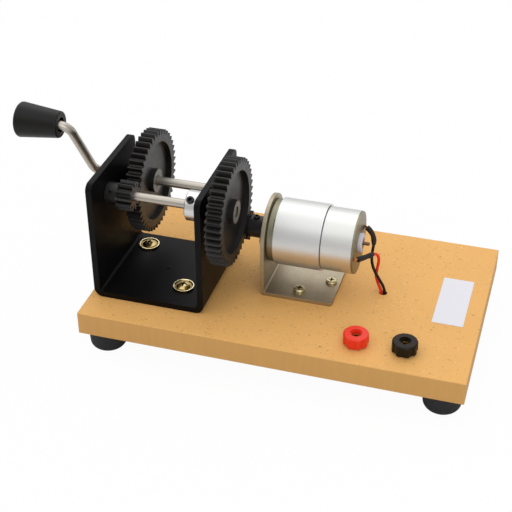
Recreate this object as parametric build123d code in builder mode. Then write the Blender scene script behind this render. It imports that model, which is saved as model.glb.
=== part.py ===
"""Hand crank generator on a wooden baseboard.

A bent steel crank turns a large gear, which drives a pinion on a layshaft.
A second large gear on the layshaft drives the pinion of a small DC motor,
so the motor turns sixteen times for each turn of the crank. Two 4 mm sockets
on the board carry the current out.

Frame: X along the board, from the crank to the label, Y from front to back,
Z up. The floor is Z = 0 and the origin is under the middle of the whole
object, crank knob included. All sizes are in millimetres.
"""

import os
from math import acos, cos, pi, radians, sin, tan

from build123d import *

# ---------------------------------------------------------------- board, feet
board_length = 250.0
board_width = 150.0
board_thickness = 16.0
board_edge = 0.4
foot_top_d = 25.4
foot_bottom_d = 23.6
foot_height = 15.0
foot_round = 5.0
foot_inset_x = 14.6
foot_inset_y = 13.8
foot_recess_d = 9.6
foot_recess_depth = 9.0
foot_screw_d = 4.0
foot_screw_head_d = 7.6
foot_screw_head_h = 2.6
foot_screw_depth = 9.0

# ------------------------------------------------------------ U-shaped frame
frame_inset = 3.5
frame_front = 21.5
frame_width = 75.0
frame_depth = 74.0
frame_height = 83.0
plate_t = 4.0
bend_inner_r = 2.0
plate_corner_r = 5.0
pit_d = 1.6
frame_screw_places = [(15.1, 60.7), (54.5, 20.2)]
frame_screw_d = 4.0
frame_screw_head_d = 9.4
frame_screw_rim = 0.4
frame_screw_dome = 1.7
frame_screw_depth = 12.0
cup_d = 13.8
cup_t = 0.7
cup_height = 1.3
cup_lip = 0.5
cup_slope = 0.9
cross_length = 0.54
cross_width = 0.14

# ------------------------------------------------------------- gears, shafts
module_size = 1.5
pressure_angle = 25.0
wheel_teeth = 44
pinion_teeth = 11
tooth_backlash = 0.3
tooth_clearance = 0.25
face_width = 10.0
rim_inner_r = 26.5
web_t = 3.4
wheel_hub_d = 16.0
shaft_d = 6.0
bush_d = 9.0
crank_back = 86.0
crank_rise = 54.2
lay_bearing = 164.8
motor_bearing = -43.0
crank_gear_x = 16.0
lay_gear_gap = 5.5
crank_gear_phase = 48.5
lay_gear_phase = 55.9
lay_hub_d = 14.0
motor_hub_d = 14.5
motor_hub_length = 9.0
collar_d = 19.5
collar_length = 12.0
crank_collar_d = 13.0
crank_collar_length = 8.0
grub_d = 3.0
collar_grub_d = 5.0
motor_grub_d = 4.0
grub_proud = 1.4
shaft_chamfer = 0.5
shaft_end_proud = 1.0
hub_mouth = 0.8

# ------------------------------------------------------------ crank and knob
arm_offset = 18.5
crank_radius = 62.6
crank_angle = 123.7
rod_bend_r = 9.0
knob_gap = 4.8
knob_length = 28.5
knob_small_d = 17.0
knob_large_d = 23.2
knob_small_edge = 1.0
knob_large_edge = 2.0
knob_mouth_d = 9.4
knob_mouth_depth = 6.0
knob_recess_d = 14.5
knob_recess_depth = 4.5
knob_washer_d = 13.0
knob_washer_t = 0.8
rod_end_proud = 1.6

# --------------------------------------------------------------------- motor
boss_gap = 2.0
bracket_t = 2.5
bracket_width = 47.6
bracket_reach = 48.0
bracket_bend_r = 1.0
bracket_corner_r = 2.0
bracket_screw_places = [(24.2, 8.8), (42.2, 23.7)]
bracket_screw_d = 4.0
bracket_screw_head_d = 7.6
bracket_screw_head_h = 2.2
bracket_screw_depth = 9.0
can_d = 41.4
can_length = 55.8
can_wall = 1.3
can_edge_r = 1.2
can_slot_width = 1.0
can_slot_length = 8.0
can_slot_angle = 140.0
ring_d = 43.8
ring_offset = 5.0
ring_length = 30.5
motor_boss_d = 17.5
motor_boss_length = 4.5
motor_shaft_d = 5.0
tail_shaft_d = 2.3
tail_proud = 4.2
end_plate_t = 1.2
end_plate_inset = 0.3
rear_boss_d = 13.0
rear_boss_length = 2.5
face_screw_pitch = 29.0
face_screw_d = 4.0
face_screw_head_d = 7.0
face_screw_head_h = 2.4
magnet_t = 4.6
magnet_length = 36.0
magnet_arc = 120.0
core_d = 28.4
core_length = 30.0
core_slots = 5
slot_width = 4.0
slot_floor_r = 7.0
winding_overhang = 4.0
commutator_d = 10.0
commutator_length = 8.0
brush_width = 4.0
brush_length = 7.0
carrier_t = 2.0
armature_start = 10.0

# -------------------------------------------------------- terminals and leads
socket_d = 4.04
socket_depth = 15.0
post_d = 5.9
post_top = 5.0
post_below = 9.5
terminal_places = {"red": (178.4, 20.1), "black": (208.8, 20.9)}
cap_d = 16.2
cap_height = 7.2
cap_flutes = 8
flute_r = 3.2
flute_depth = 1.0
cap_round = 1.3
flute_top = 0.8
cap_sink_d = 7.6
cap_sink_depth = 1.0
insulator_d = 8.0
insulator_flange_d = 12.5
insulator_flange_t = 0.8
insert_d = 9.0
insert_h = 4.0
nut_flats = 9.0
nut_h = 2.2
tag_t = 0.6
tag_width = 7.0
tag_reach = 11.0
lead_d = 1.9
sleeve_d = 3.6
sleeve_bore = 2.8
tab_width = 1.9
tab_t = 0.6
tab_radius = 15.6
tab_bearing = 11.0
tab_end_length = 2.4
lead_hole_d = 5.4
lead_hole = (183.8, 77.6)
under_bend_r = 4.0
under_drop = 6.0

# --------------------------------------------------------------------- label
label_size = (20.0, 51.0)
label_corner = (219.5, 55.0)
label_t = 0.3

# ------------------------------------------------------------ named clearances
fit_gap = 0.02
running_gap = 0.06
side_gap = 0.3
hole_gap = 0.2
seat_gap = 0.05

# ------------------------------------------------------------- derived places
overhang = arm_offset + knob_gap + knob_length
left = overhang / 2 - board_length / 2
front = -board_width / 2
board_bottom = foot_height
top = foot_height + board_thickness

frame_left = left + frame_inset
frame_right = frame_left + frame_width
left_inner = frame_left + plate_t
right_inner = frame_right - plate_t
frame_y = front + frame_front

shaft_r = shaft_d / 2
pitch_wheel = module_size * wheel_teeth / 2
pitch_pinion = module_size * pinion_teeth / 2
centre_distance = pitch_wheel + pitch_pinion

crank_y = front + crank_back
crank_z = top + crank_rise
lay_y = crank_y + centre_distance * cos(radians(lay_bearing))
lay_z = crank_z + centre_distance * sin(radians(lay_bearing))
motor_y = lay_y + centre_distance * cos(radians(motor_bearing))
motor_z = lay_z + centre_distance * sin(radians(motor_bearing))

arm_x = left - arm_offset
pin_y = crank_y + crank_radius * cos(radians(crank_angle))
pin_z = crank_z + crank_radius * sin(radians(crank_angle))
knob_mouth_x = arm_x - knob_gap
knob_end_x = knob_mouth_x - knob_length

first_mesh_x = left + crank_gear_x
second_mesh_x = frame_right + lay_gear_gap
second_mesh_end = second_mesh_x + face_width

motor_face_x = second_mesh_end + motor_hub_length + boss_gap + motor_boss_length
can_end_x = motor_face_x + can_length
end_plate_x = can_end_x + end_plate_t
tail_end_x = end_plate_x + rear_boss_length + tail_proud

os.makedirs("parts", exist_ok=True)


def facing_x(x, y, z):
    """Plane across X at (x, y, z): its own x runs along Y and its own y along Z."""
    return Plane(origin=(x, y, z), x_dir=(0, 1, 0), z_dir=(1, 0, 0))


def beside_x(x, y, z):
    """Upright plane along an X axis through (x, y, z), for turned profiles."""
    return Plane(origin=(x, y, z), x_dir=(1, 0, 0), z_dir=(0, -1, 0))


def radial(x, y, z, angle):
    """Plane on a shaft's axis that faces outward at an angle from Y toward Z."""
    direction = (0, cos(radians(angle)), sin(radians(angle)))
    return Plane(origin=(x, y, z), x_dir=(1, 0, 0), z_dir=direction)


def save(builder, name):
    """Label a finished piece and write its file."""
    builder.part.label = name
    export_step(builder.part, f"parts/{name}.step")


def polar(radius, angle):
    """Point of a gear outline at an angle in radians."""
    return (radius * cos(angle), radius * sin(angle))


def involute(angle):
    return tan(angle) - angle


def gear_outline(teeth, phase):
    """Closed involute outline with one tooth at the phase, in degrees from Y toward Z."""
    pitch_r = module_size * teeth / 2
    base_r = pitch_r * cos(radians(pressure_angle))
    tip_r = pitch_r + module_size
    root_r = pitch_r - module_size * (1 + tooth_clearance)
    flank_r = max(base_r, root_r)
    flank_radii = [flank_r + (tip_r - flank_r) * share / 4 for share in range(5)]
    pitch_half = (pi * module_size - tooth_backlash) / 4 / pitch_r
    base_half = pitch_half + involute(radians(pressure_angle))
    halves = [base_half - involute(acos(min(1, base_r / r))) for r in flank_radii]
    step = 2 * pi / teeth
    with BuildSketch() as outline:
        with BuildLine():
            for tooth in range(teeth):
                middle = radians(phase) + tooth * step
                rising = [polar(r, middle - h) for r, h in zip(flank_radii, halves)]
                falling = [polar(r, middle + h) for r, h in zip(flank_radii, halves)][::-1]
                foot = polar(root_r, middle - halves[0])
                heel = polar(root_r, middle + halves[0])
                next_foot = polar(root_r, middle + step - halves[0])
                if flank_r > root_r:
                    Line(foot, rising[0])
                    Line(falling[-1], heel)
                ThreePointArc(rising[0], rising[1], rising[2])
                ThreePointArc(rising[2], rising[3], rising[4])
                ThreePointArc(rising[4], polar(tip_r, middle), falling[0])
                ThreePointArc(falling[0], falling[1], falling[2])
                ThreePointArc(falling[2], falling[3], falling[4])
                ThreePointArc(heel, polar(root_r, middle + step / 2), next_foot)
        make_face()
    return outline.sketch


def mating_phase(driver_teeth, driver_phase, teeth, bearing):
    """Phase that puts a gap of the mating gear on a tooth of the driver."""
    turned = driver_teeth / teeth * (bearing - driver_phase)
    return bearing + 180 + turned + 180 / teeth


def grub_hole(x, y, z, angle, diameter, reach):
    """Tapped hole from a shaft's axis out through one side of a hub, to cut away."""
    with BuildPart() as hole:
        with BuildSketch(radial(x, y, z, angle)):
            Circle(diameter / 2 + fit_gap)
        extrude(amount=reach + 1)
    return hole.part


def grub_screw(name, x, y, z, angle, diameter, shaft_radius, end_radius):
    """Socket set screw that stands on a shaft and ends at a radius from its axis."""
    with BuildPart() as screw:
        with BuildSketch(radial(x, y, z, angle).offset(shaft_radius + fit_gap)):
            Circle(diameter / 2)
        extrude(amount=end_radius - shaft_radius - fit_gap)
        chamfer(screw.edges().filter_by(GeomType.CIRCLE), length=diameter * 0.08)
        with BuildSketch(radial(x, y, z, angle).offset(end_radius)):
            RegularPolygon(radius=diameter * 0.29, side_count=6)
        extrude(amount=-diameter * 0.5, mode=Mode.SUBTRACT)
    save(screw, name)


def turned_screw(head_d, head_h, shank_d, shank_length, tip):
    """Pan head screw, head up, with its seat at the origin and a cross recess."""
    with BuildPart() as screw:
        with BuildSketch(Plane.XZ) as profile:
            with BuildLine():
                Polyline(
                    (0, -shank_length),
                    (0, head_h),
                    (head_d / 2, head_h),
                    (head_d / 2, 0),
                    (shank_d / 2, 0),
                    (shank_d / 2, -shank_length + tip),
                    close=True,
                )
            make_face()
            rim = profile.vertices().sort_by(Axis.X)[-2:].sort_by(Axis.Y)[-1]
            fillet(rim, radius=min(head_h, head_d / 4) * 0.7)
        revolve(axis=Axis.Z)
        with BuildSketch(Plane.XY.offset(head_h)):
            Rectangle(head_d * cross_length, head_d * cross_width)
            Rectangle(head_d * cross_width, head_d * cross_length)
        extrude(amount=-head_h * 0.6, mode=Mode.SUBTRACT)
    return screw.part


def ring(name, plane, outer_d, inner_d, length):
    """Plain ring or bush standing on a plane."""
    with BuildPart() as piece:
        with BuildSketch(plane):
            Circle(outer_d / 2)
            Circle(inner_d / 2, mode=Mode.SUBTRACT)
        extrude(amount=length)
    save(piece, name)


def round_bar(name, x_start, x_end, y, z, diameter):
    """Shaft along X with chamfered ends."""
    with BuildPart() as bar:
        with BuildSketch(facing_x(x_start, y, z)):
            Circle(diameter / 2)
        extrude(amount=x_end - x_start)
        chamfer(bar.edges().filter_by(GeomType.CIRCLE), length=shaft_chamfer)
    save(bar, name)


# ------------------------------------------------------------------ baseboard
foot_places = [
    (left + foot_inset_x, front + foot_inset_y),
    (left + board_length - foot_inset_x, front + foot_inset_y),
    (left + foot_inset_x, front + board_width - foot_inset_y),
    (left + board_length - foot_inset_x, front + board_width - foot_inset_y),
]
frame_screw_points = [(frame_left + x, frame_y + y) for x, y in frame_screw_places]
bracket_y = motor_y - bracket_width / 2
bracket_left = motor_face_x - bracket_t
bracket_screw_points = [(bracket_left + x, bracket_y + y) for x, y in bracket_screw_places]
terminal_points = {c: (left + x, front + y) for c, (x, y) in terminal_places.items()}
hole_x = left + lead_hole[0]
hole_y = front + lead_hole[1]

with BuildPart() as baseboard:
    with BuildSketch(Plane.XY.offset(board_bottom)):
        with Locations((left + board_length / 2, 0)):
            Rectangle(board_length, board_width)
    extrude(amount=board_thickness)
    chamfer(baseboard.edges(), length=board_edge)
    with BuildSketch(Plane.XY.offset(top)):
        with Locations(*frame_screw_points):
            Circle(frame_screw_d / 2 + fit_gap)
    extrude(amount=-frame_screw_depth, mode=Mode.SUBTRACT)
    with BuildSketch(Plane.XY.offset(top)):
        with Locations(*bracket_screw_points):
            Circle(bracket_screw_d / 2 + fit_gap)
    extrude(amount=-bracket_screw_depth, mode=Mode.SUBTRACT)
    with BuildSketch(Plane.XY.offset(board_bottom)):
        with Locations(*foot_places):
            Circle(foot_screw_d / 2 + fit_gap)
    extrude(amount=foot_screw_depth, mode=Mode.SUBTRACT)
    with BuildSketch(Plane.XY.offset(board_bottom)):
        with Locations(*terminal_points.values()):
            Circle(insulator_d / 2 + seat_gap)
        with Locations((hole_x, hole_y)):
            Circle(lead_hole_d / 2)
    extrude(amount=board_thickness, mode=Mode.SUBTRACT)
save(baseboard, "baseboard")

# ---------------------------------------------------------------- rubber feet
with BuildPart() as one_foot:
    with BuildSketch(Plane.XZ) as foot_profile:
        with BuildLine():
            Polyline(
                (0, foot_recess_depth),
                (0, foot_height),
                (foot_top_d / 2, foot_height),
                (foot_bottom_d / 2, 0),
                (foot_recess_d / 2, 0),
                (foot_recess_d / 2, foot_recess_depth),
                close=True,
            )
        make_face()
        foot_heel = foot_profile.vertices().group_by(Axis.Y)[0].sort_by(Axis.X)[-1]
        fillet(foot_heel, radius=foot_round)
    revolve(axis=Axis.Z)
    Hole(foot_screw_d / 2 + fit_gap)

with BuildPart() as rubber_feet:
    with Locations(*foot_places):
        add(one_foot.part)
save(rubber_feet, "rubber_feet")

foot_screw_grip = foot_height - foot_recess_depth
foot_screw = turned_screw(
    foot_screw_head_d,
    foot_screw_head_h,
    foot_screw_d,
    foot_screw_grip + foot_screw_depth - side_gap,
    3.0,
)
with BuildPart() as foot_screws:
    for x, y in foot_places:
        add(Plane((x, y, foot_recess_depth), x_dir=(1, 0, 0), z_dir=(0, 0, -1)) * foot_screw)
save(foot_screws, "foot_screws")

# ------------------------------------------------------------- U-shaped frame
with BuildPart() as gear_frame:
    with BuildSketch(Plane.XZ.offset(-frame_y - frame_depth)) as frame_profile:
        with BuildLine():
            Polyline(
                (frame_left, top + frame_height),
                (frame_left, top),
                (frame_right, top),
                (frame_right, top + frame_height),
                (right_inner, top + frame_height),
                (right_inner, top + plate_t),
                (left_inner, top + plate_t),
                (left_inner, top + frame_height),
                close=True,
            )
        make_face()
        fillet(frame_profile.vertices().group_by(Axis.Y)[1], radius=bend_inner_r)
        fillet(frame_profile.vertices().group_by(Axis.Y)[0], radius=bend_inner_r + plate_t)
    extrude(amount=frame_depth)
    plate_corners = gear_frame.edges().filter_by(Axis.X).group_by(Axis.Z)[-1]
    fillet(plate_corners, radius=plate_corner_r)
    with BuildSketch(facing_x(frame_left, 0, 0)):
        with Locations((crank_y, crank_z), (lay_y, lay_z)):
            Circle(bush_d / 2 + fit_gap)
    extrude(amount=frame_width, mode=Mode.SUBTRACT)
    with BuildSketch(Plane.XY.offset(top)):
        with Locations(*frame_screw_points):
            Circle(frame_screw_d / 2 + hole_gap)
        with Locations((frame_left + frame_width / 2, frame_y + frame_depth / 2)):
            Circle(pit_d / 2)
    extrude(amount=plate_t, mode=Mode.SUBTRACT)
save(gear_frame, "gear_frame")

# Domed wood screws on brass washers with a raised rim hold the frame down.
with BuildPart() as one_cup:
    with BuildSketch(Plane.XZ):
        with BuildLine():
            Polyline(
                (frame_screw_d / 2 + hole_gap, 0),
                (cup_d / 2, 0),
                (cup_d / 2, cup_height),
                (cup_d / 2 - cup_lip, cup_height),
                (cup_d / 2 - cup_lip - cup_slope, cup_t),
                (frame_screw_d / 2 + hole_gap, cup_t),
                close=True,
            )
        make_face()
    revolve(axis=Axis.Z)

with BuildPart() as frame_cup_washers:
    with Locations(*[(x, y, top + plate_t) for x, y in frame_screw_points]):
        add(one_cup.part)
save(frame_cup_washers, "frame_cup_washers")

with BuildPart() as one_frame_screw:
    head_rim = cup_t + frame_screw_rim
    screw_tip = -plate_t - frame_screw_depth + side_gap
    with BuildSketch(Plane.XZ):
        with BuildLine():
            Polyline(
                (0, head_rim + frame_screw_dome),
                (0, screw_tip),
                (frame_screw_d / 2, screw_tip + 2 * frame_screw_d),
                (frame_screw_d / 2, cup_t),
                (frame_screw_head_d / 2, cup_t),
                (frame_screw_head_d / 2, head_rim),
            )
            TangentArc(
                (0, head_rim + frame_screw_dome),
                (frame_screw_head_d / 2, head_rim),
                tangent=(1, 0),
            )
        make_face()
    revolve(axis=Axis.Z)
    with BuildSketch(Plane.XY.offset(head_rim + frame_screw_dome)):
        Rectangle(frame_screw_head_d * cross_length, frame_screw_head_d * cross_width)
        Rectangle(frame_screw_head_d * cross_width, frame_screw_head_d * cross_length)
    extrude(amount=-frame_screw_dome * 0.9, mode=Mode.SUBTRACT)

with BuildPart() as frame_screws:
    with Locations(*[(x, y, top + plate_t) for x, y in frame_screw_points]):
        add(one_frame_screw.part)
save(frame_screws, "frame_screws")

# Plain bronze bushes are pressed flush into the two plates.
for bush_name, bush_y, bush_z in (
    ("crank_bushes", crank_y, crank_z),
    ("layshaft_bushes", lay_y, lay_z),
):
    with BuildPart() as bushes:
        for plate_x in (frame_left, right_inner):
            with BuildSketch(facing_x(plate_x, bush_y, bush_z)):
                Circle(bush_d / 2)
                Circle(shaft_r + running_gap, mode=Mode.SUBTRACT)
            extrude(amount=plate_t)
    save(bushes, bush_name)

# -------------------------------------------------------------------- crank
washer_x = knob_end_x + knob_recess_depth - side_gap - knob_washer_t
with BuildPart() as crank_rod:
    with BuildLine():
        FilletPolyline(
            (frame_right + shaft_end_proud, crank_y, crank_z),
            (arm_x, crank_y, crank_z),
            (arm_x, pin_y, pin_z),
            (washer_x - rod_end_proud, pin_y, pin_z),
            radius=rod_bend_r,
        )
    with BuildSketch(facing_x(frame_right + shaft_end_proud, crank_y, crank_z)):
        Circle(shaft_r)
    sweep()
    chamfer(crank_rod.edges().filter_by(GeomType.CIRCLE).sort_by(Axis.X)[-1], length=shaft_chamfer)
    chamfer(crank_rod.edges().filter_by(GeomType.CIRCLE).sort_by(Axis.X)[0], length=shaft_chamfer)
save(crank_rod, "crank_rod")

with BuildPart() as crank_knob:
    with BuildSketch(beside_x(knob_end_x, pin_y, pin_z)) as knob_profile:
        with BuildLine():
            Polyline(
                (knob_length, knob_mouth_d / 2),
                (knob_length, knob_small_d / 2),
                (0, knob_large_d / 2),
                (0, knob_recess_d / 2),
                (knob_recess_depth, knob_recess_d / 2),
                (knob_recess_depth, shaft_r + running_gap),
                (knob_length - knob_mouth_depth, shaft_r + running_gap),
                (knob_length - knob_mouth_depth, knob_mouth_d / 2),
                close=True,
            )
        make_face()
        small_edge = knob_profile.vertices().group_by(Axis.X)[-1].sort_by(Axis.Y)[-1]
        fillet(small_edge, radius=knob_small_edge)
        large_edge = knob_profile.vertices().group_by(Axis.X)[0].sort_by(Axis.Y)[-1]
        fillet(large_edge, radius=knob_large_edge)
    revolve(axis=Axis((knob_end_x, pin_y, pin_z), (1, 0, 0)))
save(crank_knob, "crank_knob")

ring(
    "knob_washer",
    facing_x(washer_x, pin_y, pin_z),
    knob_washer_d,
    shaft_d + 2 * fit_gap,
    knob_washer_t,
)

crank_collar_x = frame_left - side_gap - crank_collar_length
crank_grub_x = crank_collar_x + crank_collar_length / 2
crank_grub_angle = 90.0
with BuildPart() as crank_collar:
    with BuildSketch(facing_x(crank_collar_x, crank_y, crank_z)):
        Circle(crank_collar_d / 2)
        Circle(shaft_r + fit_gap, mode=Mode.SUBTRACT)
    extrude(amount=crank_collar_length)
    tapped = grub_hole(
        crank_grub_x, crank_y, crank_z, crank_grub_angle, grub_d, crank_collar_d / 2
    )
    add(tapped, mode=Mode.SUBTRACT)
save(crank_collar, "crank_collar")
grub_screw(
    "crank_collar_grub",
    crank_grub_x,
    crank_y,
    crank_z,
    crank_grub_angle,
    grub_d,
    shaft_r,
    crank_collar_d / 2,
)


# --------------------------------------------------------------------- gears
def wheel(name, x, y, z, phase, hub_start, grub_x, grub_angle):
    """Large moulded gear: recessed web on both sides, hub running back to hub_start."""
    recess = (face_width - web_t) / 2
    with BuildPart() as gear:
        with BuildSketch(facing_x(x, y, z)):
            add(gear_outline(wheel_teeth, phase))
        extrude(amount=face_width)
        for side_x, depth in ((x, recess), (x + face_width, -recess)):
            with BuildSketch(facing_x(side_x, y, z)):
                Circle(rim_inner_r)
                Circle(wheel_hub_d / 2, mode=Mode.SUBTRACT)
            extrude(amount=depth, mode=Mode.SUBTRACT)
        with BuildSketch(facing_x(hub_start, y, z)):
            Circle(wheel_hub_d / 2)
        extrude(amount=x + face_width - hub_start)
        with BuildSketch(facing_x(hub_start, y, z)):
            Circle(shaft_r + fit_gap)
        extrude(amount=x + face_width - hub_start, mode=Mode.SUBTRACT)
        bore_edges = gear.edges().filter_by(GeomType.CIRCLE).group_by(SortBy.RADIUS)[0]
        chamfer(bore_edges.sort_by(Axis.X)[-1], length=hub_mouth)
        add(grub_hole(grub_x, y, z, grub_angle, grub_d, wheel_hub_d / 2), mode=Mode.SUBTRACT)
    save(gear, name)
    grub_screw(f"{name}_grub", grub_x, y, z, grub_angle, grub_d, shaft_r, wheel_hub_d / 2)


def pinion(name, x, y, z, phase, bore_r, hub_start, hub_end, hub_d, grub_x, grub_angle, size, end_r):
    """Pinion with a round hub on one side and a set screw through the hub."""
    with BuildPart() as gear:
        with BuildSketch(facing_x(x, y, z)):
            add(gear_outline(pinion_teeth, phase))
        extrude(amount=face_width)
        with BuildSketch(facing_x(hub_start, y, z)):
            Circle(hub_d / 2)
        extrude(amount=hub_end - hub_start)
        with BuildSketch(facing_x(min(x, hub_start), y, z)):
            Circle(bore_r + fit_gap)
        extrude(amount=face_width + hub_end - hub_start, mode=Mode.SUBTRACT)
        add(grub_hole(grub_x, y, z, grub_angle, size, hub_d / 2), mode=Mode.SUBTRACT)
    save(gear, name)
    grub_screw(f"{name}_grub", grub_x, y, z, grub_angle, size, bore_r, end_r)


crank_hub_start = left_inner + side_gap
wheel(
    "crank_gear",
    first_mesh_x,
    crank_y,
    crank_z,
    crank_gear_phase,
    crank_hub_start,
    (crank_hub_start + first_mesh_x) / 2,
    60.0,
)
pinion(
    "layshaft_pinion",
    first_mesh_x,
    lay_y,
    lay_z,
    mating_phase(wheel_teeth, crank_gear_phase, pinion_teeth, lay_bearing),
    shaft_r,
    crank_hub_start,
    first_mesh_x,
    lay_hub_d,
    (crank_hub_start + first_mesh_x) / 2,
    145.0,
    grub_d,
    lay_hub_d / 2,
)

lay_hub_start = frame_right + side_gap
wheel(
    "layshaft_gear",
    second_mesh_x,
    lay_y,
    lay_z,
    lay_gear_phase,
    lay_hub_start,
    (lay_hub_start + second_mesh_x) / 2,
    150.0,
)
motor_shaft_r = motor_shaft_d / 2
pinion(
    "motor_pinion",
    second_mesh_x,
    motor_y,
    motor_z,
    mating_phase(wheel_teeth, lay_gear_phase, pinion_teeth, motor_bearing),
    motor_shaft_r,
    second_mesh_end,
    second_mesh_end + motor_hub_length,
    motor_hub_d,
    second_mesh_end + motor_grub_d,
    95.0,
    motor_grub_d,
    motor_hub_d / 2 + grub_proud,
)

# ------------------------------------------------------- layshaft and collar
round_bar(
    "layshaft",
    frame_left - shaft_end_proud,
    second_mesh_end - hub_mouth,
    lay_y,
    lay_z,
    shaft_d,
)
collar_x = right_inner - side_gap - collar_length
collar_grub_x = collar_x + collar_length * 0.3
collar_grub_angle = 130.0
with BuildPart() as layshaft_collar:
    with BuildSketch(facing_x(collar_x, lay_y, lay_z)):
        Circle(collar_d / 2)
        Circle(shaft_r + fit_gap, mode=Mode.SUBTRACT)
    extrude(amount=collar_length)
    rims = layshaft_collar.edges().filter_by(GeomType.CIRCLE).group_by(SortBy.RADIUS)[-1]
    chamfer(rims, length=shaft_chamfer)
    tapped = grub_hole(
        collar_grub_x, lay_y, lay_z, collar_grub_angle, collar_grub_d, collar_d / 2
    )
    add(tapped, mode=Mode.SUBTRACT)
save(layshaft_collar, "layshaft_collar")
grub_screw(
    "layshaft_collar_grub",
    collar_grub_x,
    lay_y,
    lay_z,
    collar_grub_angle,
    collar_grub_d,
    shaft_r,
    collar_d / 2 + grub_proud,
)

# ------------------------------------------------------------ motor, outside
with BuildPart() as motor_bracket:
    with BuildSketch(facing_x(bracket_left, motor_y, motor_z)):
        Circle(bracket_width / 2)
        with Locations((0, (top - motor_z) / 2)):
            Rectangle(bracket_width, motor_z - top)
    extrude(amount=bracket_t)
    with BuildSketch(Plane.XY.offset(top)) as bracket_foot:
        with Locations((bracket_left + bracket_reach / 2, motor_y)):
            Rectangle(bracket_reach, bracket_width)
        foot_corners = bracket_foot.vertices().group_by(Axis.X)[-1]
        fillet(foot_corners, radius=bracket_corner_r)
    extrude(amount=bracket_t)
    across = motor_bracket.edges().filter_by(Axis.Y)
    outer_bend = across.group_by(Axis.Z)[0].sort_by(Axis.X)[0]
    fillet(outer_bend, radius=bracket_bend_r + bracket_t)
    across = motor_bracket.edges().filter_by(Axis.Y)
    inner_bend = across.filter_by_position(Axis.X, bracket_left + bracket_t, bracket_left + bracket_t)
    fillet(inner_bend.sort_by(Axis.Z)[0], radius=bracket_bend_r)
    with BuildSketch(facing_x(bracket_left, motor_y, motor_z)):
        Circle(motor_boss_d / 2 + hole_gap)
        with Locations((-face_screw_pitch / 2, 0), (face_screw_pitch / 2, 0)):
            Circle(face_screw_d / 2 + hole_gap)
    extrude(amount=bracket_t, mode=Mode.SUBTRACT)
    with BuildSketch(Plane.XY.offset(top)):
        with Locations(*bracket_screw_points):
            Circle(bracket_screw_d / 2 + hole_gap)
    extrude(amount=bracket_t, mode=Mode.SUBTRACT)
save(motor_bracket, "motor_bracket")

bracket_screw = turned_screw(
    bracket_screw_head_d,
    bracket_screw_head_h,
    bracket_screw_d,
    bracket_t + bracket_screw_depth - side_gap,
    3.0,
)
with BuildPart() as bracket_screws:
    with Locations(*[(x, y, top + bracket_t) for x, y in bracket_screw_points]):
        add(bracket_screw)
save(bracket_screws, "bracket_screws")

motor_face_screw = turned_screw(
    face_screw_head_d,
    face_screw_head_h,
    face_screw_d,
    bracket_t + can_wall + 1.0,
    0.5,
)
with BuildPart() as motor_face_screws:
    for side in (-1, 1):
        screw_y = motor_y + side * face_screw_pitch / 2
        head_plane = Plane((bracket_left, screw_y, motor_z), x_dir=(0, 1, 0), z_dir=(-1, 0, 0))
        add(head_plane * motor_face_screw)
save(motor_face_screws, "motor_face_screws")

can_r = can_d / 2
can_inner_r = can_r - can_wall
with BuildPart() as motor_can:
    with BuildSketch(beside_x(motor_face_x, motor_y, motor_z)) as can_profile:
        with BuildLine():
            Polyline(
                (can_length, can_inner_r),
                (can_length, can_r),
                (0, can_r),
                (0, motor_boss_d / 2),
                (-motor_boss_length, motor_boss_d / 2),
                (-motor_boss_length, motor_shaft_r + bracket_t),
                (can_wall, motor_shaft_r + bracket_t),
                (can_wall, can_inner_r),
                close=True,
            )
        make_face()
        front_edge = can_profile.vertices().sort_by(Axis.Y)[-2:].sort_by(Axis.X)[0]
        fillet(front_edge, radius=can_edge_r)
    revolve(axis=Axis((motor_face_x, motor_y, motor_z), (1, 0, 0)))
    with BuildSketch(facing_x(motor_face_x, motor_y, motor_z)):
        with Locations((-face_screw_pitch / 2, 0), (face_screw_pitch / 2, 0)):
            Circle(face_screw_d / 2 + fit_gap)
    extrude(amount=can_wall, mode=Mode.SUBTRACT)
    slot_plane = radial(
        motor_face_x + ring_offset - can_slot_width / 2,
        motor_y,
        motor_z,
        can_slot_angle,
    )
    with BuildSketch(slot_plane.offset(can_inner_r)):
        Rectangle(can_slot_width, can_slot_length)
    extrude(amount=can_wall * 2, mode=Mode.SUBTRACT)
save(motor_can, "motor_can")

ring(
    "motor_flux_ring",
    facing_x(motor_face_x + ring_offset, motor_y, motor_z),
    ring_d,
    can_d + 2 * fit_gap,
    ring_length,
)

tab_angle = radians(tab_bearing)
tab_y = tab_radius * cos(tab_angle)
tab_z = tab_radius * sin(tab_angle)
rear_shaft_r = tail_shaft_d / 2
with BuildPart() as motor_end_plate:
    with BuildSketch(facing_x(can_end_x, motor_y, motor_z)):
        Circle(can_r - end_plate_inset)
        Circle(rear_shaft_r + bracket_t, mode=Mode.SUBTRACT)
        with Locations((tab_y, tab_z), (-tab_y, -tab_z)):
            Rectangle(tab_t + 4 * hole_gap, tab_width + 4 * hole_gap, mode=Mode.SUBTRACT)
    extrude(amount=end_plate_t)
save(motor_end_plate, "motor_end_plate")

with BuildPart() as rear_bearing_cap:
    with BuildSketch(facing_x(end_plate_x, motor_y, motor_z)):
        Circle(rear_boss_d / 2)
        Circle(rear_shaft_r + bracket_t, mode=Mode.SUBTRACT)
    extrude(amount=rear_boss_length)
    rims = rear_bearing_cap.edges().filter_by(GeomType.CIRCLE).group_by(SortBy.RADIUS)[-1]
    chamfer(rims.sort_by(Axis.X)[-1], length=shaft_chamfer)
save(rear_bearing_cap, "rear_bearing_cap")

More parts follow.
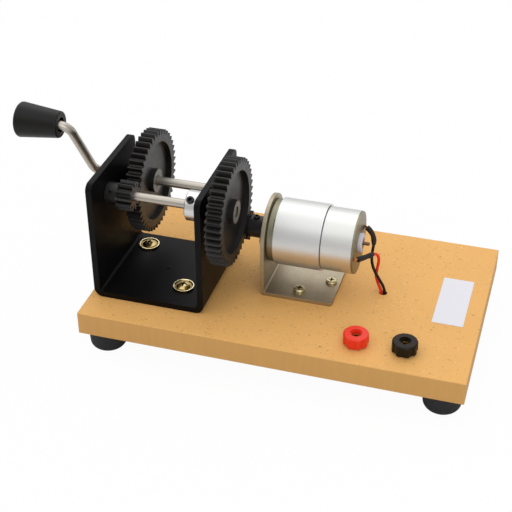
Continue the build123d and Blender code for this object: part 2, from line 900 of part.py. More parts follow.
# ------------------------------------------------------------- motor, inside
ring(
    "motor_front_bush",
    facing_x(motor_face_x - motor_boss_length, motor_y, motor_z),
    motor_shaft_d + 2 * bracket_t - 2 * fit_gap,
    motor_shaft_d + 2 * running_gap,
    motor_boss_length + can_wall,
)
ring(
    "motor_rear_bush",
    facing_x(can_end_x, motor_y, motor_z),
    tail_shaft_d + 2 * bracket_t - 2 * fit_gap,
    tail_shaft_d + 2 * running_gap,
    end_plate_t + rear_boss_length,
)

armature_x = motor_face_x + armature_start
commutator_x = armature_x + core_length + winding_overhang + side_gap
commutator_end = commutator_x + commutator_length
with BuildPart() as motor_shaft:
    with BuildSketch(facing_x(second_mesh_x, motor_y, motor_z)):
        Circle(motor_shaft_r)
    extrude(amount=commutator_end - second_mesh_x)
    with BuildSketch(facing_x(commutator_end, motor_y, motor_z)):
        Circle(rear_shaft_r)
    extrude(amount=tail_end_x - commutator_end)
    shaft_rims = motor_shaft.edges().filter_by(GeomType.CIRCLE)
    chamfer(shaft_rims.sort_by(Axis.X)[0], length=shaft_chamfer)
    shaft_rims = motor_shaft.edges().filter_by(GeomType.CIRCLE)
    chamfer(shaft_rims.sort_by(Axis.X)[-1], length=shaft_chamfer)
save(motor_shaft, "motor_shaft")

magnet_outer_r = can_inner_r - seat_gap
with BuildPart() as motor_magnets:
    with BuildSketch(facing_x(armature_x + (core_length - magnet_length) / 2, motor_y, motor_z)):
        for start in (90 - magnet_arc / 2, 270 - magnet_arc / 2):
            with BuildLine():
                outer = CenterArc((0, 0), magnet_outer_r, start, magnet_arc)
                inner = CenterArc((0, 0), magnet_outer_r - magnet_t, start, magnet_arc)
                Line(outer @ 0, inner @ 0)
                Line(outer @ 1, inner @ 1)
            make_face()
    extrude(amount=magnet_length)
save(motor_magnets, "motor_magnets")

core_r = core_d / 2
slot_depth = core_r - slot_floor_r
with BuildPart() as armature_core:
    with BuildSketch(facing_x(armature_x, motor_y, motor_z)):
        Circle(core_r)
        with PolarLocations(slot_floor_r + slot_depth, core_slots):
            Rectangle(2 * slot_depth, slot_width, mode=Mode.SUBTRACT)
        Circle(motor_shaft_r + fit_gap, mode=Mode.SUBTRACT)
    extrude(amount=core_length)
save(armature_core, "armature_core")

winding_r = core_r - 2 * side_gap
with BuildPart() as armature_winding:
    with BuildSketch(facing_x(armature_x - winding_overhang, motor_y, motor_z)):
        Circle(winding_r)
        Circle(slot_floor_r + side_gap, mode=Mode.SUBTRACT)
    extrude(amount=winding_overhang - side_gap)
    with BuildSketch(facing_x(armature_x + core_length + side_gap, motor_y, motor_z)):
        Circle(winding_r)
        Circle(slot_floor_r + side_gap, mode=Mode.SUBTRACT)
    extrude(amount=winding_overhang - side_gap)
    bar_start_r = slot_floor_r + side_gap
    with BuildSketch(facing_x(armature_x - winding_overhang, motor_y, motor_z)):
        with PolarLocations((bar_start_r + winding_r) / 2 - side_gap / 2, core_slots):
            Rectangle(winding_r - bar_start_r - side_gap, slot_width - 2 * side_gap)
    extrude(amount=core_length + 2 * winding_overhang)
save(armature_winding, "armature_winding")

ring(
    "commutator",
    facing_x(commutator_x, motor_y, motor_z),
    commutator_d,
    motor_shaft_d + 2 * fit_gap,
    commutator_length,
)

# The brush carrier is a plastic disc behind the end plate. Its two blocks hold
# the carbon brushes against the commutator, and the tabs pass through it.
carrier_x = can_end_x - carrier_t
block_x = commutator_x
brush_reach = commutator_d / 2 + running_gap
block_start_r = commutator_d / 2 + 1.5
block_width = brush_width + 4.0
with BuildPart() as brush_carrier:
    with BuildSketch(facing_x(carrier_x, motor_y, motor_z)):
        Circle(can_inner_r - seat_gap)
        Circle(commutator_d / 2 + side_gap, mode=Mode.SUBTRACT)
    extrude(amount=carrier_t)
    with BuildSketch(facing_x(block_x, motor_y, motor_z)):
        for side in (-1, 1):
            with Locations((side * (block_start_r + can_inner_r - 3) / 2, 0)):
                Rectangle(can_inner_r - 3 - block_start_r, block_width)
    extrude(amount=carrier_x - block_x)
    with BuildSketch(facing_x(block_x + 1.5, motor_y, motor_z)):
        Rectangle(2 * (brush_reach + brush_length), brush_width + 2 * seat_gap)
    extrude(amount=brush_width + 2 * seat_gap, mode=Mode.SUBTRACT)
    with BuildSketch(facing_x(block_x, motor_y, motor_z)):
        with Locations((tab_y, tab_z), (-tab_y, -tab_z)):
            Rectangle(tab_t + 2 * seat_gap, tab_width + 2 * seat_gap)
    extrude(amount=can_end_x - block_x, mode=Mode.SUBTRACT)
save(brush_carrier, "brush_carrier")

with BuildPart() as motor_brushes:
    with BuildSketch(facing_x(block_x + 1.5 + seat_gap, motor_y, motor_z)):
        for side in (-1, 1):
            with Locations((side * (brush_reach + brush_length / 2), 0)):
                Rectangle(brush_length, brush_width)
    extrude(amount=brush_width)
save(motor_brushes, "motor_brushes")

# --------------------------------------------------------- tabs, leads, tubes
# Each route starts on the end of its tab, falls through the board's hole and
# ends flush with the underside. The points are chosen by hand, in board places.
lead_routes = {
    "red": [
        (169.5, 62.2, 33.7),
        (174.2, 69.8, 32.2),
        (177.6, 77.6, 30.2),
        (179.2, 81.4, 23.6),
        (178.1, 82.2, 15.8),
        (177.4, 81.8, 9.2),
        (179.7, 79.9, 4.8),
        (182.4, 78.0, 1.0),
        (182.5, 77.5, -5.0),
        (182.4, 77.4, -11.0),
        (182.4, 77.4, -16.0),
    ],
    "black": [
        (168.9, 91.1, 39.0),
        (172.2, 90.2, 36.7),
        (174.0, 88.0, 31.6),
        (173.6, 85.0, 25.6),
        (174.0, 82.0, 20.3),
        (176.4, 79.6, 15.2),
        (180.6, 78.0, 9.7),
        (184.3, 77.5, 4.0),
        (185.1, 77.9, -2.8),
        (185.2, 77.8, -9.4),
        (185.2, 77.8, -16.0),
    ],
}
sleeve_lengths = {"red": 14.5, "black": 12.0}
tab_signs = {"red": -1, "black": 1}


def in_model(point):
    """Place of a point given from the board's front left top corner."""
    return Vector(left + point[0], front + point[1], top + point[2])


def corner_radii(points):
    """Radius at each corner: 0.45 of the shorter run over the tangent of half the turn."""
    radii = []
    for before, at, after in zip(points, points[1:], points[2:]):
        run_in = at - before
        run_out = after - at
        half_turn = radians(run_in.get_angle(run_out)) / 2
        radii.append(0.45 * min(run_in.length, run_out.length) / tan(half_turn))
    return radii


for colour, board_points in lead_routes.items():
    route = [in_model(point) for point in board_points]
    radii = corner_radii(route)
    print(colour, "lead radii", [round(r, 1) for r in radii])
    first_run = (route[1] - route[0]).normalized()
    with BuildPart() as lead:
        with BuildLine() as lead_path:
            FilletPolyline(*route, radius=radii)
        with BuildSketch(Plane(origin=route[0], z_dir=first_run)):
            Circle(lead_d / 2)
        sweep()
    length = lead_path.wires()[0].length
    section = pi * lead_d ** 2 / 4
    print(colour, "lead length", round(length, 2), "fill", round(lead.part.volume / length / section, 4))
    save(lead, f"{colour}_lead")

    # The solder tab leaves the end plate and is folded along the lead's first run.
    sign = tab_signs[colour]
    tab_start = Vector(carrier_x - 1, motor_y + sign * tab_y, motor_z + sign * tab_z)
    tab_mid = Vector(end_plate_x + 0.6, motor_y + sign * tab_y, motor_z + sign * tab_z)
    with BuildPart() as tab:
        with BuildLine():
            Polyline(tab_start, tab_mid, route[0] - first_run * side_gap)
        with BuildSketch(facing_x(tab_start.X, tab_start.Y, tab_start.Z)):
            Rectangle(tab_t, tab_width)
        sweep(transition=Transition.RIGHT)
    save(tab, f"{colour}_solder_tab")

    # Heat-shrink tube over the tab's end and the start of the lead.
    tube_start = route[0] - first_run * tab_end_length / 2
    with BuildPart() as tube:
        with BuildLine():
            Line(tube_start, route[0])
            add(lead_path.wires()[0].trim(0, sleeve_lengths[colour] / length))
        with BuildSketch(Plane(origin=tube_start, z_dir=first_run)):
            Circle(sleeve_d / 2)
            Circle(sleeve_bore / 2, mode=Mode.SUBTRACT)
        sweep()
    save(tube, f"{colour}_heatshrink")

# ------------------------------------------------------------------ terminals
for colour, (x, y) in terminal_points.items():
    cap_bottom = top + insulator_flange_t + side_gap
    with BuildPart() as cap:
        with BuildSketch(Plane.XY.offset(cap_bottom)):
            with Locations((x, y)):
                Circle(cap_d / 2)
        extrude(amount=cap_height)
        fillet(cap.edges().group_by(Axis.Z)[-1], radius=cap_round)
        with BuildSketch(Plane.XY.offset(cap_bottom)):
            with Locations((x, y)):
                with PolarLocations(cap_d / 2 - flute_depth + flute_r, cap_flutes):
                    Circle(flute_r)
        extrude(amount=cap_height - flute_top, mode=Mode.SUBTRACT)
        with BuildSketch(Plane.XY.offset(cap_bottom)):
            with Locations((x, y)):
                Circle(post_d / 2 + running_gap)
        extrude(amount=cap_height, mode=Mode.SUBTRACT)
        with BuildSketch(Plane.XY.offset(cap_bottom + cap_height)):
            with Locations((x, y)):
                Circle(cap_sink_d / 2)
        extrude(amount=-cap_sink_depth, mode=Mode.SUBTRACT)
        with BuildSketch(Plane.XY.offset(cap_bottom)):
            with Locations((x, y)):
                Circle(insert_d / 2 + running_gap)
        extrude(amount=insert_h + running_gap, mode=Mode.SUBTRACT)
    save(cap, f"{colour}_terminal_cap")

    # The cap's brass insert carries its thread and rises with it on the post.
    with BuildPart() as insert:
        with BuildSketch(Plane.XY.offset(cap_bottom)):
            with Locations((x, y)):
                Circle(insert_d / 2)
                Circle(post_d / 2 + running_gap, mode=Mode.SUBTRACT)
        extrude(amount=insert_h)
    save(insert, f"{colour}_cap_insert")

    with BuildPart() as insulator:
        with BuildSketch(Plane.XY.offset(top)):
            with Locations((x, y)):
                Circle(insulator_flange_d / 2)
        extrude(amount=insulator_flange_t)
        with BuildSketch(Plane.XY.offset(board_bottom)):
            with Locations((x, y)):
                Circle(insulator_d / 2)
        extrude(amount=board_thickness)
        with BuildSketch(Plane.XY.offset(board_bottom)):
            with Locations((x, y)):
                Circle(post_d / 2 + seat_gap)
        extrude(amount=board_thickness + insulator_flange_t, mode=Mode.SUBTRACT)
    save(insulator, f"{colour}_insulator")

    post_head = top + post_top
    with BuildPart() as post:
        with BuildSketch(Plane.XY.offset(board_bottom - post_below)):
            with Locations((x, y)):
                Circle(post_d / 2)
        extrude(amount=post_head - board_bottom + post_below)
        with BuildSketch(Plane.XY.offset(post_head)):
            with Locations((x, y)):
                Circle(socket_d / 2)
        extrude(amount=-socket_depth, mode=Mode.SUBTRACT)
        chamfer(post.edges().group_by(Axis.Z)[0], length=shaft_chamfer)
    save(post, f"{colour}_socket_post")

fibre_t = 1.0
tag_top = board_bottom - fibre_t - nut_h
with BuildPart() as terminal_washers:
    for x, y in terminal_points.values():
        with BuildSketch(Plane.XY.offset(board_bottom)):
            with Locations((x, y)):
                Circle(insulator_flange_d / 2)
                Circle(post_d / 2 + seat_gap, mode=Mode.SUBTRACT)
        extrude(amount=-fibre_t)
save(terminal_washers, "terminal_washers")

with BuildPart() as terminal_nuts:
    for x, y in terminal_points.values():
        for nut_top in (board_bottom - fibre_t, tag_top - tag_t):
            with BuildSketch(Plane.XY.offset(nut_top)):
                with Locations((x, y)):
                    RegularPolygon(radius=nut_flats / 2, side_count=6, major_radius=False)
                    Circle(post_d / 2 + fit_gap, mode=Mode.SUBTRACT)
            extrude(amount=-nut_h)
save(terminal_nuts, "terminal_nuts")

with BuildPart() as solder_tags:
    for x, y in terminal_points.values():
        with BuildSketch(Plane.XY.offset(tag_top)):
            with Locations((x, y)):
                Circle(tag_width / 2)
            with Locations((x, y + tag_reach / 2)):
                Rectangle(tag_width / 2, tag_reach)
            with Locations((x, y)):
                Circle(post_d / 2 + seat_gap, mode=Mode.SUBTRACT)
        extrude(amount=-tag_t)
save(solder_tags, "solder_tags")

# Each lead goes on under the board, from the hole to the end of its tag.
for colour, (x, y) in terminal_points.items():
    hole_end = in_model(lead_routes[colour][-1])
    tag_end = Vector(x, y + tag_reach + lead_d / 4, tag_top - tag_t / 2)
    low = hole_end - Vector(0, 0, under_drop)
    with BuildPart() as under_lead:
        with BuildLine():
            FilletPolyline(hole_end, low, tag_end, radius=under_bend_r)
        with BuildSketch(Plane(origin=hole_end, z_dir=(0, 0, -1))):
            Circle(lead_d / 2)
        sweep()
    save(under_lead, f"{colour}_under_lead")

# --------------------------------------------------------------------- label
with BuildPart() as blank_label:
    with BuildSketch(Plane.XY.offset(top)):
        with Locations((left + label_corner[0], front + label_corner[1])):
            Rectangle(*label_size, align=(Align.MIN, Align.MIN))
    extrude(amount=label_t)
save(blank_label, "blank_label")
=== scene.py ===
"""Looks of the hand crank generator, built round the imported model.

Everything is in metres, in the model's own frame: X along the board from the
crank to the label, Y from front to back, Z up, with the floor at Z = 0.
"""

from math import radians

import bpy
from bpy.props import FloatProperty, FloatVectorProperty, PointerProperty
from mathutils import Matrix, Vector


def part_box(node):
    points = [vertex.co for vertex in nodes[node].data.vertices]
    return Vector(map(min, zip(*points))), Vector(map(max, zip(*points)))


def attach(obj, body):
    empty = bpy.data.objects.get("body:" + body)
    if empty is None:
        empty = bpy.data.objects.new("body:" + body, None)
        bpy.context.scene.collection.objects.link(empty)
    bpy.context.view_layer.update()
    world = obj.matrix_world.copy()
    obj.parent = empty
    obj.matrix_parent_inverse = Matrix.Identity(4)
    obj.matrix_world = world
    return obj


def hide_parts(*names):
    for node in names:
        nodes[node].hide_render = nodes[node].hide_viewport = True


bl_info = {
    "name": "Hand crank generator",
    "version": (1, 0, 0),
    "blender": (4, 5, 0),
    "location": "View3D > Sidebar > Generator",
    "description": "Finishes and details of a hand crank generator",
    "category": "Object",
}

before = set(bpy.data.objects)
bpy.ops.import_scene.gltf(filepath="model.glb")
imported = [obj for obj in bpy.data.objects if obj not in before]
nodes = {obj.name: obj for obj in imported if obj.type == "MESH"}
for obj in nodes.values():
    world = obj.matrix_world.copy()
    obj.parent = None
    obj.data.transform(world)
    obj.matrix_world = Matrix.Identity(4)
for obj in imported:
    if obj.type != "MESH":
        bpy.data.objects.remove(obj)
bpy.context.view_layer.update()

# The board's front left top corner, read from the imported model.
board_low, board_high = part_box("baseboard")
corner = Vector((board_low.x, board_low.y, board_high.z))

# Colours of pieces that have no setting of their own.
BRONZE = (0.42, 0.26, 0.12)
YELLOW_ZINC = (0.74, 0.56, 0.24)
TIN = (0.66, 0.58, 0.36)
COPPER = (0.75, 0.32, 0.16)
TAB_COPPER = (0.74, 0.40, 0.15)
TAIL_BROWN = (0.20, 0.125, 0.075)
# Painted shade for the screws' cross recesses.
PAINTED_RECESS_SHADE = (0.022, 0.015, 0.008)
# Painted highlight on the cup washers' raised rim.
PAINTED_RIM_HIGHLIGHT = (0.98, 0.84, 0.50)

SMOOTH_ANGLE = radians(40)
FLAT_ANGLE = radians(0.5)
SAME_POINT = 0.000002


# ------------------------------------------------------------------ settings
def colour(name, description, default):
    return FloatVectorProperty(
        name=name, description=description, default=default, subtype="COLOR", min=0, max=1, size=3
    )


class GeneratorColours(bpy.types.PropertyGroup):
    board: colour("Board", "Fibreboard's main colour", (0.745, 0.408, 0.128))
    board_side: colour("Board edge", "Sawn edge's colour", (0.60, 0.325, 0.100))
    fibre: colour("Fibres", "Dark fibres in the board", (0.26, 0.120, 0.038))
    frame_black: colour("Frame", "Powder coat on the frame", (0.0032, 0.0027, 0.0030))
    nylon: colour("Gears", "Moulded gears", (0.0064, 0.0055, 0.0050))
    hub_end: colour("Hub ends", "Rough ends of the wheels' hubs", (0.19, 0.185, 0.16))
    knob: colour("Knob", "Crank knob", (0.0075, 0.0066, 0.0061))
    steel: colour("Steel", "Rod and shafts", (0.52, 0.48, 0.42))
    aluminium: colour("Aluminium", "Collar and outer ring", (0.72, 0.72, 0.71))
    bracket: colour("Bracket", "Dull bracket sheet", (0.42, 0.365, 0.27))
    zinc: colour("Zinc", "Motor can", (0.70, 0.70, 0.68))
    # Olive zinc with painted shade, for the can between the bracket and the ring.
    zinc_shade: colour("Shaded zinc", "Can between bracket and ring", (0.26, 0.25, 0.18))
    end_plate: colour("End plate", "Olive passivated plate", (0.30, 0.28, 0.20))
    brass: colour("Brass", "Screws, cups and terminals", (0.78, 0.55, 0.22))
    red: colour("Red", "Red terminal", (0.82, 0.035, 0.012))
    black: colour("Black", "Black terminal", (0.014, 0.0088, 0.0056))
    rubber: colour("Rubber", "Feet", (0.011, 0.011, 0.012))
    shrink: colour("Heat-shrink", "Tubes over the leads' ends", (0.014, 0.0115, 0.0100))
    label: colour("Label", "Blank label", (0.70, 0.695, 0.74))


class GeneratorSizes(bpy.types.PropertyGroup):
    lead: FloatProperty(
        name="Lead", description="Lead's diameter", default=0.0019, min=0.0005, subtype="DISTANCE"
    )
    sleeve: FloatProperty(
        name="Sleeve", description="Heat-shrink's diameter", default=0.0036, subtype="DISTANCE"
    )
    edge: FloatProperty(
        name="Edge", description="Rounding of moulded edges", default=0.0003, subtype="DISTANCE"
    )


# ----------------------------------------------------------------- materials
class Finish:
    """A new material with the few node steps that the finishes share."""

    def __init__(self, name, base, roughness, metallic=0.0, coat=0.0, specular=0.5):
        self.material = bpy.data.materials.new(name)
        self.material.use_nodes = True
        self.tree = self.material.node_tree
        self.shader = self.tree.nodes["Principled BSDF"]
        self.shader.inputs["Base Color"].default_value = (*base, 1)
        self.shader.inputs["Roughness"].default_value = roughness
        self.shader.inputs["Metallic"].default_value = metallic
        self.shader.inputs["Coat Weight"].default_value = coat
        self.shader.inputs["Specular IOR Level"].default_value = specular
        self.place = self.tree.nodes.new("ShaderNodeTexCoord").outputs["Object"]

    def link(self, source, target):
        self.tree.links.new(source, target)

    def stretched(self, scale, turn=0, shift=(0, 0, 0)):
        """Object's place turned about Z first, and then scaled."""
        place = self.place
        for value, socket in (((0, 0, turn), "Rotation"), (scale, "Scale")):
            mapping = self.tree.nodes.new("ShaderNodeMapping")
            mapping.inputs[socket].default_value = value
            self.link(place, mapping.inputs["Vector"])
            place = mapping.outputs["Vector"]
        mapping.inputs["Location"].default_value = shift
        return place

    def noise(self, scale, detail=3.0, rough=0.5, place=None):
        node = self.tree.nodes.new("ShaderNodeTexNoise")
        node.inputs["Scale"].default_value = scale
        node.inputs["Detail"].default_value = detail
        node.inputs["Roughness"].default_value = rough
        self.link(place or self.place, node.inputs["Vector"])
        return node.outputs["Fac"]

    def ramp(self, source, *stops):
        """Grey ramp between two stops, each a position and a value."""
        node = self.tree.nodes.new("ShaderNodeValToRGB")
        for element, (position, grey) in zip(node.color_ramp.elements, stops):
            element.position = position
            element.color = (grey, grey, grey, 1)
        self.link(source, node.inputs["Fac"])
        return node.outputs["Color"]

    def mixed(self, fac, a, b):
        """Colour a where fac is 0, and b where it is 1."""
        node = self.tree.nodes.new("ShaderNodeMix")
        node.data_type = "RGBA"
        for value, socket in ((fac, node.inputs[0]), (a, node.inputs[6]), (b, node.inputs[7])):
            if isinstance(value, bpy.types.NodeSocket):
                self.link(value, socket)
            else:
                socket.default_value = (*value, 1)
        return node.outputs[2]

    def step(self, value, low, high):
        """0 up to low and 1 from high on, or turned round where low is the larger."""
        node = self.tree.nodes.new("ShaderNodeMapRange")
        node.inputs["From Min"].default_value = low
        node.inputs["From Max"].default_value = high
        self.link(value, node.inputs["Value"])
        return node.outputs["Result"]

    def axis(self, name):
        node = self.tree.nodes.new("ShaderNodeSeparateXYZ")
        self.link(self.place, node.inputs["Vector"])
        return node.outputs[name]

    def combined(self, a, b, how="MULTIPLY"):
        node = self.tree.nodes.new("ShaderNodeMath")
        node.operation = how
        self.link(a, node.inputs[0])
        self.link(b, node.inputs[1])
        return node.outputs["Value"]

    def band(self, value, low, high, soft=0.0001):
        """1 between low and high, 0 outside."""
        above = self.step(value, low - soft, low)
        return self.combined(above, self.step(value, high + soft, high))

    def distance(self, centres, kept):
        """Distance to the nearer of the centres along the kept axes."""
        flat = self.stretched(kept)
        nearest = None
        for centre in centres:
            node = self.tree.nodes.new("ShaderNodeVectorMath")
            node.operation = "DISTANCE"
            node.inputs[1].default_value = Vector(kept) * Vector(centre)
            self.link(flat, node.inputs[0])
            found = node.outputs["Value"]
            nearest = self.combined(nearest, found, "MINIMUM") if nearest else found
        return nearest

    def painted(self, source):
        self.link(source, self.shader.inputs["Base Color"])
        return self

    def roughened(self, source, low, high):
        node = self.tree.nodes.new("ShaderNodeMapRange")
        node.inputs["To Min"].default_value = low
        node.inputs["To Max"].default_value = high
        self.link(source, node.inputs["Value"])
        self.link(node.outputs["Result"], self.shader.inputs["Roughness"])
        return self

    def bumped(self, source, strength, depth):
        node = self.tree.nodes.new("ShaderNodeBump")
        node.inputs["Strength"].default_value = strength
        node.inputs["Distance"].default_value = depth
        self.link(source, node.inputs["Height"])
        self.link(node.outputs["Normal"], self.shader.inputs["Normal"])
        return self


def shaded(base, factor):
    return tuple(factor * v for v in base)


def fibreboard(c):
    f = Finish("fibreboard", c.board, 0.62, specular=0.25)
    dull = shaded(c.board, 0.92)
    lively = tuple(min(1, 1.07 * v) for v in c.board)
    pale = tuple(min(1, 1.28 * v + 0.03) for v in c.board)
    fine = f.noise(900, 2)
    ground = f.mixed(f.noise(30, 3), dull, lively)
    ground = f.mixed(f.ramp(fine, (0.45, 0.0), (0.80, 0.22)), ground, c.board_side)
    # Dark and pale flecks, each kind along a direction of its own.
    for turn, shift, shade, share in (
        (0.5, 0.0, c.fibre, 0.95),
        (-0.9, 0.3, c.fibre, 0.9),
        (1.7, 0.6, pale, 0.9),
        (-0.2, 0.9, pale, 0.8),
    ):
        place = f.stretched((320, 1100, 700), turn, (shift, shift, 0))
        marks = f.noise(1.0, 2, 0.55, place)
        ground = f.mixed(f.ramp(marks, (0.685, 0.0), (0.735, share)), ground, shade)
    streaks = f.noise(1.0, 3, 0.5, f.stretched((420, 420, 40)))
    sawn = f.mixed(streaks, shaded(c.board_side, 0.88), c.board_side)
    upward = f.step(f.axis("Z"), corner.z - 0.0006, corner.z - 0.0002)
    f.painted(f.mixed(upward, sawn, ground))
    return f.bumped(fine, 0.2, 0.00015).material


def powder_coat(c):
    f = Finish("powder_coat", c.frame_black, 0.38, specular=0.10)
    specks = f.ramp(f.noise(1500, 2), (0.70, 0.0), (0.76, 0.6))
    f.painted(f.mixed(specks, c.frame_black, shaded(c.frame_black, 7)))
    f.roughened(f.noise(60, 3), 0.34, 0.46)
    return f.bumped(f.noise(1300, 2), 0.2, 0.0001).material


def nylon(c, name="nylon", hub=None):
    """Moulded gear, with a paler rough end on its hub.

    The hub is given by its end's X, its centre and its radius.
    """
    f = Finish(name, c.nylon, 0.40, specular=0.42)
    shade = f.mixed(f.noise(180, 4), c.nylon, shaded(c.nylon, 1.6))
    if hub:
        end, centre, radius = hub
        cut = f.mixed(f.noise(900, 3), shaded(c.hub_end, 0.6), c.hub_end)
        face = f.band(f.axis("X"), end - 0.0001, end + 0.0002)
        near = f.step(f.distance((centre,), (0, 1, 1)), radius + 0.0003, radius)
        shade = f.mixed(f.combined(face, near), shade, cut)
    f.painted(shade)
    f.roughened(f.noise(300, 3), 0.32, 0.52)
    return f.bumped(f.noise(900, 2), 0.12, 0.00008).material


def satin_knob(c):
    f = Finish("satin_knob", c.knob, 0.36, specular=0.22)
    f.roughened(f.noise(240, 3), 0.32, 0.42)
    return f.bumped(f.noise(700, 2), 0.08, 0.00008).material


def drawn_steel(c, name="drawn_steel"):
    f = Finish(name, c.steel, 0.4, metallic=1.0)
    f.roughened(f.noise(60, 2), 0.32, 0.42)
    return f.painted(f.mixed(f.noise(50, 2), shaded(c.steel, 0.92), c.steel)).material


def motor_steel(c, tail_start):
    """Ground shaft, dark brown on the tail that leaves the motor."""
    f = Finish("motor_steel", c.steel, 0.4, metallic=1.0)
    f.roughened(f.noise(60, 2), 0.32, 0.42)
    tail = f.step(f.axis("X"), tail_start, tail_start + 0.0003)
    return f.painted(f.mixed(tail, c.steel, TAIL_BROWN)).material


def turned(name, base, low, high):
    """Metal with fine tool marks round an axis along X."""
    f = Finish(name, base, low, metallic=1.0)
    marks = f.noise(1.0, 2, 0.5, f.stretched((2600, 30, 30)))
    f.roughened(marks, low, high)
    f.painted(f.mixed(f.noise(70, 3), shaded(base, 0.90), base))
    return f.bumped(marks, 0.10, 0.00006).material


def satin_metal(name, base):
    f = Finish(name, base, 0.40, metallic=1.0)
    f.roughened(f.noise(40, 2), 0.40, 0.46)
    return f.painted(f.mixed(f.noise(35, 2), shaded(base, 0.95), base)).material


def can_metal(c, start, ring_start, ring_end):
    """Motor can, with a painted shadow at its start and just past the ring's end, and olive with
    painted shade between the two.
    """
    f = Finish("can", c.zinc, 0.42, metallic=1.0)
    f.roughened(f.noise(40, 2), 0.38, 0.46)
    along = f.axis("X")
    # Olive zinc darkened with painted shade between the bracket and the ring.
    shade = f.mixed(f.step(along, ring_start - 0.0002, ring_start), c.zinc_shade, c.zinc)
    # Painted shadow in a thin band just past the ring's end.
    shade = f.mixed(f.band(along, ring_end, ring_end + 0.0005), shade, (0.10, 0.10, 0.11))
    # Painted shadow in the gap between the bracket and the can's rounded front edge.
    past_gap_shadow = f.step(along, start + 0.0004, start + 0.0007)
    return f.painted(f.mixed(past_gap_shadow, (0.02, 0.02, 0.02), shade)).material


def dull_sheet(c):
    """Stained aluminium sheet of the bracket."""
    f = Finish("bracket_sheet", c.bracket, 0.44, metallic=1.0)
    stain = f.mixed(f.noise(90, 4), shaded(c.bracket, 0.70), c.bracket)
    f.painted(f.mixed(f.noise(700, 3), stain, shaded(c.bracket, 1.15)))
    f.roughened(f.noise(160, 4), 0.38, 0.52)
    return f.bumped(f.noise(1200, 2), 0.08, 0.00005).material


def plated(name, base, low=0.22, high=0.40):
    f = Finish(name, base, low, metallic=1.0)
    f.roughened(f.noise(500, 3), low, high)
    f.painted(f.mixed(f.noise(260, 4), shaded(base, 0.72), base))
    return f.bumped(f.noise(1200, 2), 0.12, 0.00006).material


def screw_head(name, base, node, head, rising, low):
    """Two plated screws of one node, with painted shade in the recesses that lie lower than low.

    Rising says that the screw with the higher X also has the higher Y.
    """
    f = Finish(name, base, 0.28, metallic=1.0)
    least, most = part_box(node)
    inset = head / 2
    across = (least.y + inset, most.y - inset)
    near_y, far_y = across if rising else reversed(across)
    centres = ((least.x + inset, near_y, 0), (most.x - inset, far_y, 0))
    recess = f.step(f.axis("Z"), most.z - low, most.z - low - 0.0001)
    near = f.step(f.distance(centres, (1, 1, 0)), 0.28 * head, 0.26 * head)
    shade = f.mixed(f.noise(260, 3), shaded(base, 0.8), base)
    # Painted shade in the cross recesses, near each screw's centre.
    f.painted(f.mixed(f.combined(recess, near), shade, PAINTED_RECESS_SHADE))
    f.roughened(f.noise(500, 3), 0.20, 0.32)
    return f.material


def cup_metal(c):
    """Brass washers, with painted shade in the dish and a painted highlight on the raised rim."""
    f = Finish("cup_brass", c.brass, 0.3, metallic=1.0)
    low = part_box("frame_cup_washers")[0].z
    # Painted shade in the dish as darkened copies of the brass, and a painted highlight on the
    # raised rim.
    dish_painted_shade = f.mixed(f.noise(260, 3), shaded(c.brass, 0.25), shaded(c.brass, 0.5))
    raised = f.step(f.axis("Z"), low + 0.0010, low + 0.0012)
    f.painted(f.mixed(raised, dish_painted_shade, PAINTED_RIM_HIGHLIGHT))
    f.roughened(f.noise(500, 3), 0.18, 0.30)
    return f.material


def moulded(name, base, roughness=0.26, coat=0.04, specular=0.3):
    f = Finish(name, base, roughness, coat=coat, specular=specular)
    f.roughened(f.noise(260, 3), 0.8 * roughness, 1.4 * roughness)
    f.painted(f.mixed(f.noise(120, 3), shaded(base, 0.92), base))
    return f.bumped(f.noise(800, 2), 0.05, 0.0001).material


def rubber(name, base):
    f = Finish(name, base, 0.6, specular=0.25)
    f.painted(f.mixed(f.noise(200, 4), base, shaded(base, 2.0)))
    return f.bumped(f.noise(1400, 2), 0.2, 0.0001).material


def vinyl(c):
    f = Finish("vinyl", c.label, 0.4, specular=0.25)
    return f.painted(f.mixed(f.noise(120, 2), shaded(c.label, 0.98), c.label)).material


# ------------------------------------------------------------------- helpers
def coat(material, *names):
    """Give CAD nodes a material. Their meshes stay as they are."""
    for name in names:
        mesh = nodes[name].data
        mesh.materials.clear()
        mesh.materials.append(material)


def deselect():
    if bpy.context.object and bpy.context.object.mode != "OBJECT":
        bpy.ops.object.mode_set(mode="OBJECT")
    bpy.ops.object.select_all(action="DESELECT")


def use(piece):
    deselect()
    piece.select_set(True)
    bpy.context.view_layer.objects.active = piece


def softened(node, material, body, width, angle=32):
    """Copy of a CAD node with its hard edges rounded, which stands for the node."""
    piece = nodes[node].copy()
    piece.data = nodes[node].data.copy()
    piece.name = f"{node}_finished"
    for key in list(piece.keys()):
        if key.startswith("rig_"):
            del piece[key]
    piece.parent = None
    bpy.context.collection.objects.link(piece)
    use(piece)
    bpy.ops.object.mode_set(mode="EDIT")
    bpy.ops.mesh.customdata_custom_splitnormals_clear()
    bpy.ops.mesh.select_all(action="SELECT")
    bpy.ops.mesh.remove_doubles(threshold=SAME_POINT)
    bpy.ops.mesh.dissolve_limited(angle_limit=FLAT_ANGLE)
    bpy.ops.object.mode_set(mode="OBJECT")
    bevel = piece.modifiers.new("rounding", "BEVEL")
    bevel.width = width
    bevel.segments = 3
    bevel.limit_method = "ANGLE"
    bevel.angle_limit = radians(angle)
    bevel.use_clamp_overlap = True
    bevel.harden_normals = False
    bpy.ops.object.modifier_apply(modifier=bevel.name)
    bpy.ops.object.shade_smooth_by_angle(angle=SMOOTH_ANGLE)
    weighted = piece.modifiers.new("weighted", "WEIGHTED_NORMAL")
    weighted.keep_sharp = True
    bpy.ops.object.modifier_apply(modifier=weighted.name)
    piece.data.materials.clear()
    piece.data.materials.append(material)
    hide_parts(node)
    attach(piece, body)
    return piece


